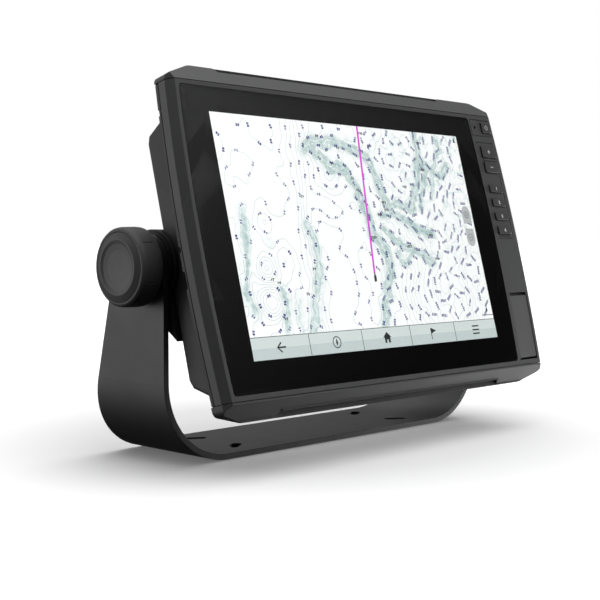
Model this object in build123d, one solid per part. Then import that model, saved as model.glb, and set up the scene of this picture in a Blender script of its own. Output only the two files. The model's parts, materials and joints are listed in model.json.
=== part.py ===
from build123d import *

import math
import os

# Chartplotter display on a bail bracket, in millimetres, +Z up, screen facing -Y.
# The origin is the centre of the bail's underside. The head is modelled upright
# around the tilt axis (x along the axis, y back into the case, z up), then leaned
# back and put on the bail. "Depth" is the distance behind the front of the glass.

# ---------------------------------------------------------------- driving sizes
PIVOT_Y = -22.0           # tilt axis on the bail
PIVOT_Z = 131.0
LEAN = 14.8               # degrees the head leans back at rest

FRONT_Y = -61.4           # front of the glass, ahead of the tilt axis
SCREEN_W = 261.1          # lit area of a 12.1 inch 16:10 panel
SCREEN_H = 163.2
SCREEN_X = -13.0          # screen centre from the tilt axis
SCREEN_Z = 5.5

BULGE = 3.8               # side lines bulge by this much over BULGE_REACH
BULGE_Z = 3.5             # height of the widest point
BULGE_REACH = 100.0
FRONT_HALF = 172.1        # half width of the flat front, at the widest point
CHAMFER = 4.6             # 45 degree chamfer from the front to the side walls
SIDE_HALF = FRONT_HALF + CHAMFER

SEAM_TOP = 107.0          # bezel to top trim
SEAM_BOTTOM = -100.0      # bezel to bottom trim
SEAM_GAP = 0.5
STEP_GAP = 0.06           # behind the chamfer a step on each trim all but closes the seam
STEP_INSET = 1.2
RIDGE_TOP = 119.0
RIDGE_TOP_HALF = 151.0    # the ridge ends here and falls towards the corners
RIDGE_TOP_FALL = 0.40
RIDGE_TOP_DEPTH = 5.0
RIDGE_BOTTOM = -112.1
RIDGE_BOTTOM_HALF = 151.3
RIDGE_BOTTOM_FALL = 0.28
CORNER_R = 4.5
CORNER_R_RIDGE = 14.0
STRIP_BOTTOM = -101.5     # the bottom trim is flat down to here, then slopes back
LIP_BOTTOM = -110.9
LIP_BOTTOM_DEPTH = 12.0

BEZEL_DEPTH = 10.9
SEAL_DEPTH = 12.4         # case seal lies between bezel and rear case
FLANGE_DEPTH = 14.9
FLANGE_INSET = 0.7
SEAL_INSET = 0.9
FLANGE_NOTCHES = ((-26.0, -15.0), (-2.5, 1.0), (-70.0, -62.0), (86.0, 90.0))

GLASS_LEFT = -169.1
GLASS_RIGHT = 141.4
GLASS_BOTTOM = -96.3
GLASS_TOP = 103.65
GLASS_R = 2.5
GLASS_T = 1.1
PRINT_T = 0.1
SEAL_T = 0.7
GLASS_GAP = 0.2
LEDGE_T = 2.0
LCD_W = 270.0
LCD_H = 172.0
LCD_T = 1.6
BACKLIGHT_T = 4.6

KEY_X = 156.4             # centre line of the keys
KEY_FRAME_LEFT = 144.4
KEY_FRAME_RIGHT = 167.4
GROOVE_W = 0.6            # fine lines moulded into the key strip
GROOVE_DEPTH = 0.6
KEY_GAP = 0.3
KEY_PROUD = 1.1
KEY_FLANGE = 1.1          # the flange reaches this far past the key's sides
KEYPAD_T = 3.0            # thickness of the bezel behind the keypad
KEYS = {                  # name: centre x, centre z, width, height
    "key_power": (159.7, 96.6, 11.8, 9.0),
    "key_zoom_in": (KEY_X, 75.9, 18.4, 9.6),
    "key_zoom_out": (KEY_X, 62.8, 17.6, 9.0),
    "key_1": (KEY_X, 44.7, 17.2, 6.4),
    "key_2": (KEY_X, 33.1, 17.2, 6.4),
    "key_3": (KEY_X, 21.5, 17.2, 6.4),
    "key_4": (KEY_X, 9.9, 17.2, 6.4),
}
SENSOR_X = 145.2
SENSOR_Z = 96.4
SENSOR_R = 1.3

DOOR_LEFT = GLASS_RIGHT + 4.6
DOOR_RIGHT = FRONT_HALF - 3.4
DOOR_BOTTOM = -95.3
DOOR_TOP = -44.3
DOOR_NOTCH_TOP = -41.8    # finger notch above the door
DOOR_GAP = 0.45
DOOR_FRONT = 0.3          # depth of the door's face
DOOR_T = 2.6
HINGE_DEPTH = 2.0
HINGE_Z = -93.3
HINGE_R = 1.7
HINGE_PIN_R = 0.8
BAY_X = (147.3, 163.9)
BAY_Z = (-91.8, -45.8)
BAY_FRONT = 3.7
BAY_FLOOR = 9.0
BAY_WALL = 1.4
CARD_X = 151.0
CARD_Z = (-57.5, -80.0)

CASE_HALF = 158.5
CASE_BACK = -12.5         # y of the flat rear face
CASE_WALL = 3.0
CASE_BACK_WALL = 5.0
BOARD_DEPTH = 30.0
BOARD_T = 1.6
CHASSIS_DEPTH = 40.0
CHASSIS_T = 2.5

SOCKET_Z = -28.0
SOCKET_PITCH = 40.0
SOCKET_R = 9.6
SOCKET_BORE_R = 7.6
SOCKET_BACK = -2.5
SOCKET_FLOOR = -14.0
SOCKET_PINS = {"power_socket": 2, "data_socket": 5, "network_socket": 4, "sonar_socket": 8}

CRADLE_Y = (-12.2, -6.2)
CRADLE_Z = (-52.6, 19.5)
EAR_R = 24.4
EAR_OUT = 161.3
EAR_IN = 145.0
INSERT_R = 7.5
LATCH_Y = -5.0
LATCH_Z = -57.5
LATCH_PIN_R = 1.5
LATCH_HALF = 22.7
LATCH_LUG = (28.0, 32.0)
TOOTH_Z = (-78.0, -74.0)

BAIL_HALF_W = 168.0
BAIL_DEPTH = 84.0
BAIL_T = 4.0
BAIL_R = 55.0             # outer bend radius
BAIL_TOP = 153.0
BAIL_REAR_LEAN = 15.0 / 62.0
SLOT_X = 88.0
SLOT_Y = 21.75
SLOT_W = 7.5
SLOT_L = 18.5
SLOT_ANGLE = 32.0

SCREW_R = 4.0
RUNNING_GAP = 0.06
KNOB_R = 26.0
KNOB_LINES = 6
KNOB_LINE_R = 0.6
KNOB_LINE_X = (176.5, 184.5)
KNOB_LINE_TURN = -23.0    # degrees from straight ahead to the first line
CAP_TOP_R = 18.2         # the cap slopes up from its edge to a dished top
CAP_RISE = 1.6
KNOB_BACK = 172.0
KNOB_FRONT = 190.0
CAP_R = 22.4
WASHER_R = 22.5

WIDE = 400.0              # larger than the whole object


# ---------------------------------------------------------------- shape helpers
def front_plane(depth):
    """Plane parallel to the glass, seen from the front, at a depth behind it."""
    return Plane(origin=(0, FRONT_Y + depth, 0), x_dir=(1, 0, 0), z_dir=(0, -1, 0))


def slab(face, front, back):
    """Solid of a front-view face between two depths."""
    return extrude(front_plane(back) * face, back - front)


def bar(points, x0, x1):
    """Solid of a side-view outline, given as (y, z) points, between two x."""
    face = make_face(Polyline(*points, close=True))
    return extrude(Plane.YZ.offset(x0) * face, x1 - x0)


def block(x, y, z):
    """Box between two corners, each given as a (low, high) pair."""
    middle = [(low + high) / 2 for low, high in (x, y, z)]
    return Pos(*middle) * Box(x[1] - x[0], y[1] - y[0], z[1] - z[0])


def at_depth(front, back):
    """The y pair of a stretch of depth."""
    return (FRONT_Y + front, FRONT_Y + back)


def rod_x(radius, x0, x1, y=0.0, z=0.0):
    return Pos((x0 + x1) / 2, y, z) * Rot(Y=90) * Cylinder(radius, abs(x1 - x0))


def rod_y(radius, y, x, z):
    return Pos(x, (y[0] + y[1]) / 2, z) * Rot(X=90) * Cylinder(radius, y[1] - y[0])


def rounded(x, z, width, height, radius):
    return Pos(x, z) * RectangleRounded(width, height, radius)


def bulge(z):
    return BULGE * ((z - BULGE_Z) / BULGE_REACH) ** 2


def bowed_face(left, right, low, high, left_side=-1):
    """Front-view face between two bulging side lines, given where they are widest.

    left_side is -1 when the left line bulges to the left and 1 when it bulges right.
    """
    heights = (low, (low + high) / 2, high)
    rights = [(right - bulge(z), z) for z in heights]
    lefts = [(left - left_side * bulge(z), z) for z in heights]
    return make_face([
        ThreePointArc(*rights),
        Line(rights[2], lefts[2]),
        ThreePointArc(*reversed(lefts)),
        Line(lefts[0], rights[0]),
    ])


def mirrored(part):
    return mirror(part, Plane.YZ)


# ---------------------------------------------------------------- head outline
def head_outline():
    """Front view of the whole head: bulging sides, ridges and falling corners."""
    top_x = SIDE_HALF - bulge(RIDGE_TOP - 8.5)
    top_z = RIDGE_TOP - RIDGE_TOP_FALL * (top_x - RIDGE_TOP_HALF)
    low_x = SIDE_HALF - bulge(RIDGE_BOTTOM + 6.0)
    low_z = RIDGE_BOTTOM + RIDGE_BOTTOM_FALL * (low_x - RIDGE_BOTTOM_HALF)
    middle = (SIDE_HALF, BULGE_Z)
    face = make_face([
        ThreePointArc((low_x, low_z), middle, (top_x, top_z)),
        Polyline((top_x, top_z), (RIDGE_TOP_HALF, RIDGE_TOP), (-RIDGE_TOP_HALF, RIDGE_TOP),
                 (-top_x, top_z)),
        ThreePointArc((-top_x, top_z), (-middle[0], middle[1]), (-low_x, low_z)),
        Polyline((-low_x, low_z), (-RIDGE_BOTTOM_HALF, RIDGE_BOTTOM),
                 (RIDGE_BOTTOM_HALF, RIDGE_BOTTOM), (low_x, low_z)),
    ])
    corners = face.vertices().filter_by(lambda v: abs(v.X) > RIDGE_BOTTOM_HALF + 5)
    face = fillet(corners, CORNER_R)
    ridges = face.vertices().filter_by(lambda v: abs(abs(v.X) - RIDGE_TOP_HALF) < 1)
    return fillet(ridges, CORNER_R_RIDGE)


def head_block(depth):
    """Solid of the head's front part, with its side chamfers and its two slopes."""
    reach = 24.0
    low, high = RIDGE_BOTTOM - 20, RIDGE_TOP + 20
    core = loft([
        front_plane(0) * bowed_face(-FRONT_HALF, FRONT_HALF, low, high),
        front_plane(reach) * bowed_face(-FRONT_HALF - reach, FRONT_HALF + reach, low, high),
    ], ruled=True)
    y = FRONT_Y
    top_rise = (RIDGE_TOP - SEAM_TOP) / RIDGE_TOP_DEPTH
    top_cut = bar([(y, SEAM_TOP), (y + RIDGE_TOP_DEPTH + 2, RIDGE_TOP + 2 * top_rise),
                   (y - 5, RIDGE_TOP + 20), (y - 5, SEAM_TOP)], -WIDE / 2, WIDE / 2)
    low_cut = bar([(y, STRIP_BOTTOM), (y + LIP_BOTTOM_DEPTH, LIP_BOTTOM),
                   (y + LIP_BOTTOM_DEPTH, RIDGE_BOTTOM - 5), (y - 5, RIDGE_BOTTOM - 5),
                   (y - 5, STRIP_BOTTOM)], -WIDE / 2, WIDE / 2)
    return (slab(head_outline(), 0, depth) & core) - top_cut - low_cut


def between(z0, z1):
    """Large box that keeps a stretch of height."""
    return block((-WIDE / 2, WIDE / 2), (-WIDE / 2, WIDE / 2), (z0, z1))


TONGUE_HALF = 140.0
TONGUE_REACH = 3.6
TONGUE_DEPTH = (5.4, 8.4)
TONGUE_GAP = 0.15


def tongue(side, gap):
    """Rail on the bezel's edge that a trim snaps over; the gap widens it for the trim's groove."""
    edge = SEAM_TOP if side > 0 else SEAM_BOTTOM
    low, high = sorted((edge - side * 1.0, edge + side * (TONGUE_REACH + gap)))
    front, back = TONGUE_DEPTH
    return block((-TONGUE_HALF - gap, TONGUE_HALF + gap), at_depth(front - gap, back + gap), (low, high))


# ---------------------------------------------------------------- bezel and trims
def glass_face(grow=0.0):
    face = bowed_face(GLASS_LEFT - grow, GLASS_RIGHT + grow, GLASS_BOTTOM - grow, GLASS_TOP + grow)
    return fillet(face.vertices(), GLASS_R)


def lcd_face(grow=0.0):
    return Pos(SCREEN_X, SCREEN_Z) * Rectangle(LCD_W + 2 * grow, LCD_H + 2 * grow)


CASE_SCREWS = (
    [(x, 101.0) for x in (-150, -55, 45, 136)]
    + [(x, -97.0) for x in (-150, -55, 45, 136)]
    + [(x, z) for x in (-165.0, 165.0) for z in (-32.0, 53.2)]
)
BOSS_R = 3.4
PANEL_SCREWS = [(SCREEN_X + sx * 140.0, SCREEN_Z + sz * 60.0) for sx in (-1, 1) for sz in (-1, 1)]
GLASS_BACK = GLASS_T + PRINT_T + SEAL_T


def groove_ring(left, right, low, high):
    """Groove round a four-sided area of the key strip."""
    outer = fillet(bowed_face(left, right, low, high, 1).vertices(), 1.4)
    inner = bowed_face(left + GROOVE_W, right - GROOVE_W, low + GROOVE_W, high - GROOVE_W, 1)
    return slab(outer - fillet(inner.vertices(), 0.8), -1, GROOVE_DEPTH)


def keypad_grooves():
    """Ring round the power key, an open frame round the other keys and a line under them."""
    power = groove_ring(DOOR_LEFT - 3.2, DOOR_RIGHT, 89.2, 103.2)
    low, high = 3.0, 84.0
    frame = groove_ring(KEY_FRAME_LEFT, KEY_FRAME_RIGHT, low, high)
    frame -= block((KEY_FRAME_LEFT - 10, KEY_FRAME_LEFT + 3), at_depth(-1, 1), (low - 1, high - 2.5))
    under = block((KEY_X - 8.6, KEY_X + 7.0), at_depth(-1, GROOVE_DEPTH), (low + 1.7, low + 2.3))
    return power + frame + under


def zoom_ridge():
    """Low rib that parts the two zoom keys."""
    upper, lower = KEYS["key_zoom_in"], KEYS["key_zoom_out"]
    middle = (upper[1] - upper[3] / 2 + lower[1] + lower[3] / 2) / 2
    rib = slab(rounded(KEY_X, middle, 17.0, 1.3, 0.6), -0.6, 1.0)
    return fillet(rib.faces().sort_by(Axis.Y)[0].edges(), 0.25)


def front_bezel():
    seams = between(SEAM_BOTTOM + SEAM_GAP / 2, SEAM_TOP - SEAM_GAP / 2)
    body = head_block(BEZEL_DEPTH) & seams
    body -= slab(glass_face(GLASS_GAP), -1, GLASS_BACK)
    body -= slab(lcd_face(1.5), 0, GLASS_BACK + LEDGE_T)
    hollow_bottom, hollow_top = SEAM_BOTTOM + 3.5, SEAM_TOP - 3.5
    hollow = bowed_face(-FRONT_HALF - 0.8, FRONT_HALF + 0.8, hollow_bottom, hollow_top)
    body -= slab(hollow, GLASS_BACK + LEDGE_T, BEZEL_DEPTH + 1)
    keypad = bowed_face(GLASS_RIGHT + 2.1, FRONT_HALF - 0.1, hollow_bottom, hollow_top, 1)
    body -= slab(keypad, KEYPAD_T, GLASS_BACK + LEDGE_T + 0.01)
    for x, z in CASE_SCREWS:
        body += rod_y(BOSS_R, at_depth(KEYPAD_T - 0.5, BEZEL_DEPTH), x, z) & seams
    for x, z in PANEL_SCREWS:
        body += rod_y(2.4, at_depth(GLASS_BACK + 1, 7.6), x, z)
    for x, z in CASE_SCREWS:
        body -= rod_y(1.25, at_depth(5.0, BEZEL_DEPTH + 1), x, z)
    for x, z in PANEL_SCREWS:
        body -= rod_y(0.8, at_depth(4.2, 8.6), x, z)
    body += tongue(1, 0) + tongue(-1, 0)
    for x, z, width, height in KEYS.values():
        hole = rounded(x, z, width + 2 * KEY_GAP, height + 2 * KEY_GAP, 1.3)
        body -= slab(hole, -1, KEYPAD_T + 0.5)
    body = body - keypad_grooves() + zoom_ridge()
    body -= rod_y(SENSOR_R + 0.02, at_depth(-1, KEYPAD_T + 1), SENSOR_X, SENSOR_Z)
    body -= slab(door_face(DOOR_GAP), -1, KEYPAD_T + 1)
    notch = bowed_face(DOOR_LEFT, DOOR_RIGHT, DOOR_TOP, DOOR_NOTCH_TOP, 1)
    body -= slab(notch, -1, 2.2)
    pin_z = (HINGE_Z - HINGE_PIN_R, HINGE_Z + HINGE_PIN_R)
    body -= block(hinge_span(1.6), at_depth(HINGE_DEPTH - HINGE_PIN_R, KEYPAD_T + 1), pin_z)
    return body


def seam_step(side):
    """Step along the back of a trim that closes the seam against light."""
    edge = SEAM_TOP if side > 0 else SEAM_BOTTOM
    low, high = sorted((edge + side * SEAM_GAP, edge - side * (SEAM_GAP / 2 - STEP_GAP)))
    return slab(bowed_face(-SIDE_HALF + STEP_INSET, SIDE_HALF - STEP_INSET, low, high), CHAMFER, FLANGE_DEPTH)


def trim_recess(side, left, right, edge, slant):
    """Front-view face of the long shallow recess in a trim, with slanted ends."""
    out = side * 200.0
    rise = (RIDGE_TOP if side > 0 else RIDGE_BOTTOM) - edge
    return make_face(Polyline(
        (left + slant, edge), (right - slant, edge), (right, edge + rise),
        (right, out), (left, out), (left, edge + rise), close=True))


TOP_RECESS = (-129.6, 108.9, 116.4, 3.6)       # left, right, edge height, slant of the ends
BOTTOM_RECESS = (-124.0, 121.0, -108.5, 3.8)


def top_trim():
    """The recess has an undercut back wall, so its face turns down towards the seam."""
    left, right, edge, slant = TOP_RECESS
    body = head_block(FLANGE_DEPTH) & between(SEAM_TOP + SEAM_GAP / 2, WIDE)
    body = body + seam_step(1) - tongue(1, TONGUE_GAP)
    cut = slab(trim_recess(1, left, right, edge, slant), -1, 9)
    under = bar([(FRONT_Y - 1, edge - 1), (FRONT_Y + 7.6, edge - 1), (FRONT_Y + 5.2, RIDGE_TOP + 1),
                 (FRONT_Y - 1, RIDGE_TOP + 1)], -WIDE / 2, WIDE / 2)
    return body - (cut & under)


def bottom_trim():
    """The recess is cut up from the ridge; a narrow upright lip borders it in front."""
    left, right, edge, slant = BOTTOM_RECESS
    body = head_block(FLANGE_DEPTH) & between(-WIDE, SEAM_BOTTOM - SEAM_GAP / 2)
    body = body + seam_step(-1) - tongue(-1, TONGUE_GAP)
    slope = (STRIP_BOTTOM - LIP_BOTTOM) / LIP_BOTTOM_DEPTH
    body -= slab(trim_recess(-1, left, right, edge, slant), -1, LIP_BOTTOM_DEPTH + 0.4)
    lip_z = edge + 1.2
    lip_y = FRONT_Y + (STRIP_BOTTOM - lip_z) / slope
    tail_y = FRONT_Y + (STRIP_BOTTOM - edge) / slope
    body += bar([(lip_y, lip_z), (lip_y, edge), (tail_y + 0.6, edge), (tail_y + 0.6, lip_z)],
                left + slant, right - slant)
    return body


# ---------------------------------------------------------------- display stack
def cover_glass():
    return slab(glass_face(), 0, GLASS_T)


def border_print():
    lit = Pos(SCREEN_X, SCREEN_Z) * Rectangle(SCREEN_W, SCREEN_H)
    return slab(glass_face() - lit, GLASS_T, GLASS_T + PRINT_T)


def glass_seal():
    inner = fillet(bowed_face(GLASS_LEFT + 5, GLASS_RIGHT - 5, GLASS_BOTTOM + 5, GLASS_TOP - 5)
                   .vertices(), 2)
    return slab(glass_face(-0.3) - inner, GLASS_T + PRINT_T, GLASS_BACK)


def lcd_panel():
    front = GLASS_T + PRINT_T
    return slab(lcd_face(), front, front + LCD_T)


def backlight():
    front = GLASS_T + PRINT_T + LCD_T
    body = slab(lcd_face(), front, front + BACKLIGHT_T)
    tray = slab(lcd_face(-8), front + BACKLIGHT_T - 1.0, front + BACKLIGHT_T + 1)
    return body - tray


def panel_bracket():
    """Pressed sheet behind the backlight, lightened by six windows."""
    front = 7.6
    face = rounded(SCREEN_X, SCREEN_Z, 288, 164, 4)
    windows = Pos(SCREEN_X, SCREEN_Z) * GridLocations(84, 74, 3, 2)
    face -= [place * RectangleRounded(70, 60, 6) for place in windows]
    body = slab(face, front, front + 1.2)
    for x, z in PANEL_SCREWS:
        body -= rod_y(1.1, at_depth(front - 1, front + 2), x, z)
    return body


# ---------------------------------------------------------------- keypad
def key(x, z, width, height):
    """Key cap with a rounded edge and a wider flange behind the bezel."""
    cap = slab(rounded(x, z, width, height, 1.0), -KEY_PROUD, KEYPAD_T + 0.3)
    cap = fillet(cap.faces().sort_by(Axis.Y)[0].edges(), 0.5)
    flange = rounded(x, z, width + 2 * KEY_FLANGE, height + 2 * KEY_FLANGE, 1.2)
    return cap + slab(flange, KEYPAD_T + 0.2, KEYPAD_T + 1.2)


def around_bosses():
    """Discs that clear the bezel's screw bosses, in front view."""
    return [Pos(x, z) * Circle(BOSS_R + 0.4) for x, z in CASE_SCREWS]


def keypad_mat():
    """Rubber mat with one dome behind each key."""
    front = KEYPAD_T + 3.2
    left, right = GLASS_RIGHT + 4.0, FRONT_HALF - 4.2
    body = slab(bowed_face(left, right, 2.0, 102.0, 1) - around_bosses(), front, front + 1.0)
    base_up = (Align.CENTER, Align.CENTER, Align.MIN)
    for x, z, _, _ in KEYS.values():
        body += Pos(x, FRONT_Y + front + 0.1, z) * Rot(X=90) * Cone(3.0, 2.0, 1.15, align=base_up)
    return body


def keypad_board():
    front = KEYPAD_T + 4.2
    left, right = GLASS_RIGHT + 3.6, FRONT_HALF - 3.8
    return slab(bowed_face(left, right, 0.0, 102.6, 1) - around_bosses(), front, front + BOARD_T)


def ribbon_cables():
    """Flat cables from the keypad board and from the backlight to the main board."""
    z = (34.0, 46.0)
    start = KEYPAD_T + 4.2 + BOARD_T
    turn = BOARD_DEPTH - 3.0
    down = block((149.6, 150.0), at_depth(start, turn), z)
    across = block((96.0, 150.0), at_depth(turn - 0.4, turn), z)
    plug = block((96.0, 99.0), at_depth(turn - 0.2, BOARD_DEPTH), z)
    panel_back = GLASS_T + PRINT_T + LCD_T + BACKLIGHT_T - 1
    panel = block((SCREEN_X - 20, SCREEN_X + 20), at_depth(panel_back, BOARD_DEPTH), (-52.2, -51.8))
    return Compound([down + across + plug, panel])


def sensor_window():
    return rod_y(SENSOR_R, at_depth(0.1, KEYPAD_T), SENSOR_X, SENSOR_Z)


# ---------------------------------------------------------------- card door and bay
def door_face(grow=0.0):
    return bowed_face(DOOR_LEFT - grow, DOOR_RIGHT + grow, DOOR_BOTTOM - 2 * grow, DOOR_TOP + grow, 1)


def hinge_span(grow=0.0):
    """x range of the door's hinge barrel."""
    shift = bulge(HINGE_Z)
    return (DOOR_LEFT - shift + 0.3 - grow, DOOR_RIGHT - shift - 0.3 + grow)


def card_door():
    """Flap with a hinge barrel along its lower edge and a rounded outer edge."""
    face = door_face() & Pos(0, (HINGE_Z + DOOR_TOP) / 2) * Rectangle(WIDE, DOOR_TOP - HINGE_Z)
    body = slab(face, DOOR_FRONT, DOOR_FRONT + DOOR_T)
    span = hinge_span()
    axis_y = FRONT_Y + HINGE_DEPTH
    body += rod_x(HINGE_R, *span, axis_y, HINGE_Z)
    return body - rod_x(HINGE_PIN_R + RUNNING_GAP, span[0] - 1, span[1] + 1, axis_y, HINGE_Z)


def card_door_pin():
    return rod_x(HINGE_PIN_R, *hinge_span(1.4), FRONT_Y + HINGE_DEPTH, HINGE_Z)


def card_door_seal():
    """Rubber rim on the door's inner face that closes against the bay."""
    x, z = (BAY_X[0] + 0.2, BAY_X[1] - 0.2), (BAY_Z[0] + 2.2, BAY_Z[1] - 0.2)
    back = at_depth(DOOR_FRONT + DOOR_T, BAY_FRONT - 0.3)
    rim = block(x, back, z)
    return rim - block((x[0] + 1.5, x[1] - 1.5), (back[0] - 1, back[1] + 1), (z[0] + 1.5, z[1] - 1.5))


def card_bay():
    """Open box behind the door, with one upright slot for each card."""
    x = (BAY_X[0] - BAY_WALL, BAY_X[1] + BAY_WALL)
    z = (BAY_Z[0] - BAY_WALL, BAY_Z[1] + BAY_WALL)
    body = block(x, at_depth(BAY_FRONT, BAY_FLOOR + BAY_WALL), z)
    body -= block(BAY_X, at_depth(0, BAY_FLOOR), BAY_Z)
    for height in CARD_Z:
        body -= block((CARD_X - 0.8, CARD_X + 0.8), at_depth(BAY_FLOOR - 1, BAY_FLOOR + 3),
                      (height - 6.4, height + 6.4))
    return body


def card_sockets():
    front = BAY_FLOOR + BAY_WALL
    body = []
    for height in CARD_Z:
        shell = block((CARD_X - 1.8, CARD_X + 1.8), at_depth(front, front + 15),
                      (height - 7.5, height + 7.5))
        slot = block((CARD_X - 0.7, CARD_X + 0.7), at_depth(front - 1, front + 13),
                     (height - 6.1, height + 6.1))
        body.append(shell - slot)
    return Compound(body)


# ---------------------------------------------------------------- rear case
CASE_PROFILE = [           # side view of the case: y, z
    (FRONT_Y + FLANGE_DEPTH - 1, 96.5), (-31.2, 91.7), (-14.8, 84.7), (CASE_BACK, 79.5),
    (CASE_BACK, -79.0), (-15.4, -84.5), (-30.6, -92.5), (FRONT_Y + FLANGE_DEPTH - 1, -93.6),
]
VENT_XZ = (122.0, -62.0)
CASE_FEET = [(sx * 138.0, z) for sx in (-1, 1) for z in (-62.0, 66.0)]
SOCKET_X = [(i - 1.5) * SOCKET_PITCH for i in range(4)]
HOOK_X = 60.0
HOOK_Z = (12.0, 19.0)


def flange_face(inset):
    low, high = SEAM_BOTTOM + SEAM_GAP / 2, SEAM_TOP - SEAM_GAP / 2
    return bowed_face(-SIDE_HALF + inset, SIDE_HALF - inset, low, high)


def case_shell():
    outer = bar(CASE_PROFILE, -CASE_HALF, CASE_HALF)
    corners = outer.edges().filter_by(lambda e: abs(abs(e.center().X) - CASE_HALF) < 0.1
                                      and e.center().Y > FRONT_Y + FLANGE_DEPTH)
    outer = fillet(corners, 3.0)
    wall = CASE_WALL
    inner = [
        (FRONT_Y, 96.5 - wall), (-32.0, 91.7 - wall), (-19.0, 86.2 - wall),
        (CASE_BACK - CASE_BACK_WALL, 79.5 - 0.5), (CASE_BACK - CASE_BACK_WALL, -78.5),
        (-19.0, -86.3 + wall), (-31.0, -92.5 + wall), (FRONT_Y, -93.6 + wall),
    ]
    return outer, bar(inner, -CASE_HALF + wall, CASE_HALF - wall)


def rear_case():
    """Shell with a flange behind the bezel, cooling grooves, and holes for what passes through."""
    outer, inner = case_shell()
    flange = slab(flange_face(FLANGE_INSET), SEAL_DEPTH, FLANGE_DEPTH)
    for low, high in FLANGE_NOTCHES:
        for side in (-1, 1):
            x = sorted((side * (SIDE_HALF - 4.2), side * (SIDE_HALF + 5)))
            flange -= block(x, at_depth(SEAL_DEPTH + 0.9, FLANGE_DEPTH + 1), (low, high))
    body = flange + outer - inner
    for i in range(-14, 15):
        x = i * 8.0
        body -= block((x - 1.6, x + 1.6), (CASE_BACK - 2.2, CASE_BACK + 1), (34.0, 74.0))
    for x in SOCKET_X:
        body -= rod_y(SOCKET_R + 0.1, (CASE_BACK - 10, CASE_BACK + 1), x, SOCKET_Z)
    for x, z in CASE_SCREWS:
        body -= rod_y(1.7, at_depth(SEAL_DEPTH - 1, FLANGE_DEPTH + 1), x, z)
    for x, z in CASE_FEET:
        foot = rod_y(4.0, (FRONT_Y + CHASSIS_DEPTH + CHASSIS_T, CASE_BACK - 2.0), x, z)
        body += foot
        body -= rod_y(1.25, (FRONT_Y + CHASSIS_DEPTH, CASE_BACK - 2.4), x, z)
    body -= rod_y(2.6, (CASE_BACK - 10, CASE_BACK + 1), *VENT_XZ)
    body -= block((-11.0, 11.0), (CASE_BACK - 10, CASE_BACK + 1), (TOOTH_Z[0] - 2.4, TOOTH_Z[1] + 1.2))
    for side in (-1, 1):
        x = sorted((side * (HOOK_X - 10.5), side * (HOOK_X + 10.5)))
        body -= block(x, (CASE_BACK - 3.4, CASE_BACK + 1), (HOOK_Z[0] - 0.5, HOOK_Z[1] + 0.5))
    return body


def case_seal():
    """Rubber ring in the groove between bezel and rear case."""
    half = SIDE_HALF - SEAL_INSET
    low, high = SEAM_BOTTOM + 0.5, SEAM_TOP - 0.5
    ring = bowed_face(-half, half, low, high)
    ring -= bowed_face(-half + 2, half - 2, low + 1, high - 1)
    return slab(ring, BEZEL_DEPTH, SEAL_DEPTH)


def case_screws():
    body = []
    for x, z in CASE_SCREWS:
        shank = rod_y(1.2, at_depth(5.6, FLANGE_DEPTH + 0.5), x, z)
        head = rod_y(2.6, at_depth(FLANGE_DEPTH, FLANGE_DEPTH + 2.0), x, z)
        socket = Pos(x, FRONT_Y + FLANGE_DEPTH + 2.0, z) * Rot(X=90) * Cylinder(1.1, 2.0)
        body.append(shank + head - socket)
    return Compound(body)


def vent_plug():
    stem = rod_y(2.5, (CASE_BACK - 5.5, CASE_BACK + 0.5), *VENT_XZ)
    cap = rod_y(5.0, (CASE_BACK, CASE_BACK + 1.6), *VENT_XZ)
    return stem + fillet(cap.faces().sort_by(Axis.Y)[-1].edges(), 0.6)


# ---------------------------------------------------------------- electronics
STANDOFFS = [(x, z) for x in (-92.0, -31.0, 31.0, 92.0) for z in (-62.0, 52.0)]


def chassis_plate():
    """Aluminium heat spreader with standoffs for the main board."""
    y = at_depth(CHASSIS_DEPTH, CHASSIS_DEPTH + CHASSIS_T)
    body = block((-150, 150), y, (-74, 76))
    body -= block((-76, 76), (y[0] - 1, y[1] + 1), (SOCKET_Z - 14, SOCKET_Z + 14))
    for x, z in STANDOFFS:
        body += rod_y(3.0, at_depth(BOARD_DEPTH + BOARD_T, CHASSIS_DEPTH + 0.5), x, z)
        body -= rod_y(1.1, at_depth(BOARD_DEPTH, CHASSIS_DEPTH - 1), x, z)
    for x, z in CASE_FEET:
        body -= rod_y(1.7, (y[0] - 1, y[1] + 1), x, z)
    return body


def main_board():
    body = block((-102, 102), at_depth(BOARD_DEPTH, BOARD_DEPTH + BOARD_T), (-70, 60))
    for x, z in STANDOFFS:
        body -= rod_y(1.3, at_depth(BOARD_DEPTH - 1, BOARD_DEPTH + 3), x, z)
    return body


def machine_screw(x, z, shank_r, shank, head_r, head):
    """Screw whose shank and head each span a stretch of depth."""
    return rod_y(shank_r, at_depth(*shank), x, z) + rod_y(head_r, at_depth(*head), x, z)


def inner_screws():
    """Screws of the panel bracket, the main board and the chassis plate."""
    screws = [machine_screw(x, z, 0.75, (4.4, 8.9), 1.8, (8.8, 10.0)) for x, z in PANEL_SCREWS]
    front = BOARD_DEPTH
    screws += [machine_screw(x, z, 1.05, (front - 0.5, front + 7), 2.4, (front - 1.6, front))
               for x, z in STANDOFFS]
    front = CHASSIS_DEPTH
    screws += [machine_screw(x, z, 1.2, (front - 0.5, front + 6), 2.8, (front - 2, front))
               for x, z in CASE_FEET]
    return Compound(screws)


def on_board(x, z, width, height, tall):
    """Box standing on the main board's front face."""
    return block((x - width / 2, x + width / 2), at_depth(BOARD_DEPTH - tall, BOARD_DEPTH),
                 (z - height / 2, z + height / 2))


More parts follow.
